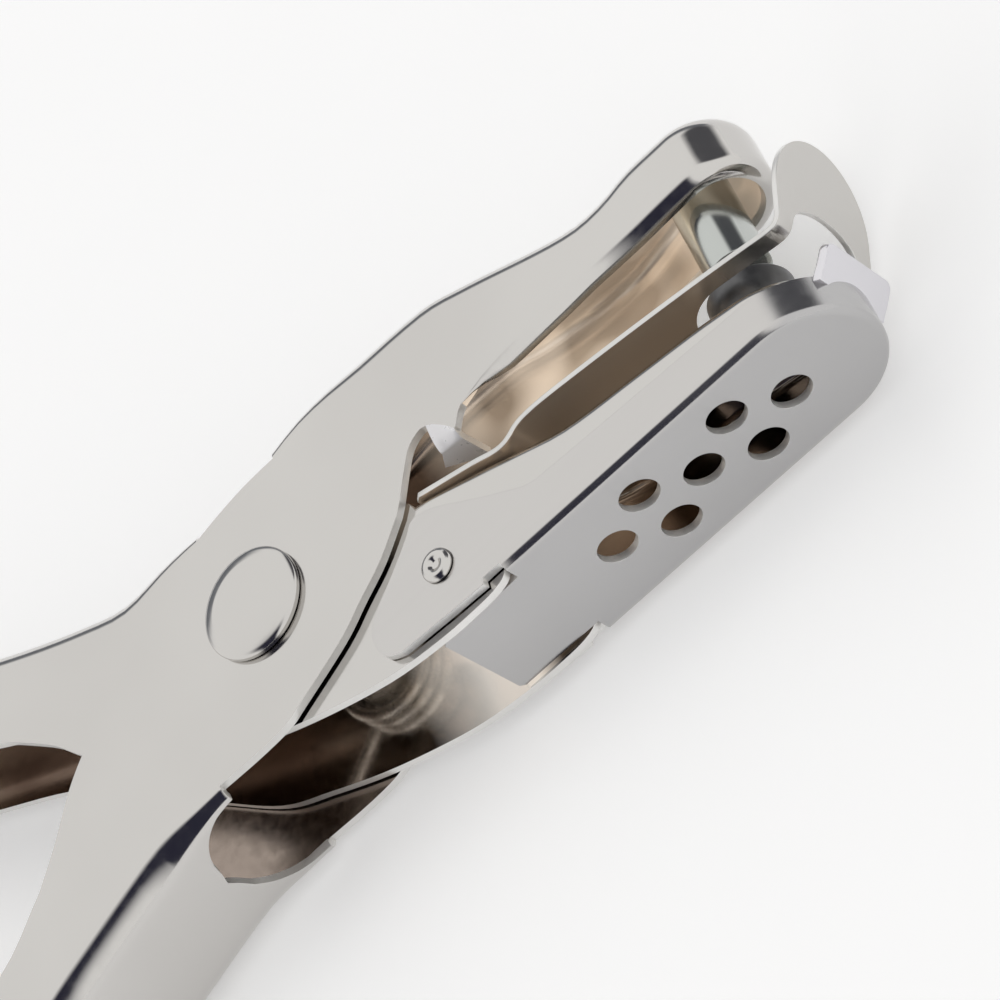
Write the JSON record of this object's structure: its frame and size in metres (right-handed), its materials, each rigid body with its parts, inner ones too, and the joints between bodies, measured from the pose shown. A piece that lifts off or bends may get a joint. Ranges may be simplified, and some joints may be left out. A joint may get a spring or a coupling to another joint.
{
  "type": "single-hole hand punch pliers",
  "caption": "Plier-type hand punch of pressed nickel-plated steel: sprung crossed levers, round punch and die, strip stripper and swing-down chip catcher.",
  "frame": {"origin": "centre of the far rivet head's flat face, on the pivot axis", "axes": "+Z along the pivot rivet towards the near head, +X from the pivot to the nose, +Y from the lower jaw to the upper jaw"},
  "size_m": [0.1601, 0.0817, 0.0192],
  "materials": {
    "nickel_plated_steel": "bright nickel plate on smooth pressed steel, near-mirror",
    "plated_cover": "nickel plate, slightly satin on the flat bottom plate",
    "plated_strip": "plated strip steel with fine rolling lines",
    "polished_tool_steel": "ground and polished hardened steel",
    "blackened_tool_steel": "dark hardening film, smooth and dull",
    "spring_steel": "bright drawn wire and turned steel"
  },
  "bodies": {
    "lower_lever_body": {"lower_lever": "nickel_plated_steel", "pivot_rivet": "nickel_plated_steel", "pivot_spacer": "spring_steel", "torsion_spring": "spring_steel", "die_button": "blackened_tool_steel", "stripper_strip": "plated_strip", "strip_rivet_1": "plated_strip", "strip_rivet_2": "plated_strip", "catcher_rivet_near": "nickel_plated_steel", "catcher_rivet_far": "nickel_plated_steel"},
    "upper_lever_body": {"upper_lever": "nickel_plated_steel", "punch_pin": "polished_tool_steel"},
    "catcher_body": {"chip_catcher": "plated_cover"}
  },
  "joints": [
    {"name": "squeeze", "type": "hinge", "parent": "lower_lever_body", "child": "upper_lever_body", "pos_m": [0, 0, 0.0096], "axis": [0, 0, -1], "range_deg": [0, 5.5], "stiffness_Nm_per_rad": 0.6, "springref_deg": -68.75},
    {"name": "catcher_swing", "type": "hinge", "parent": "lower_lever_body", "child": "catcher_body", "pos_m": [0.0192, -0.0121, 0.0096], "axis": [0, 0, -1], "range_deg": [0, 16]}
  ]
}
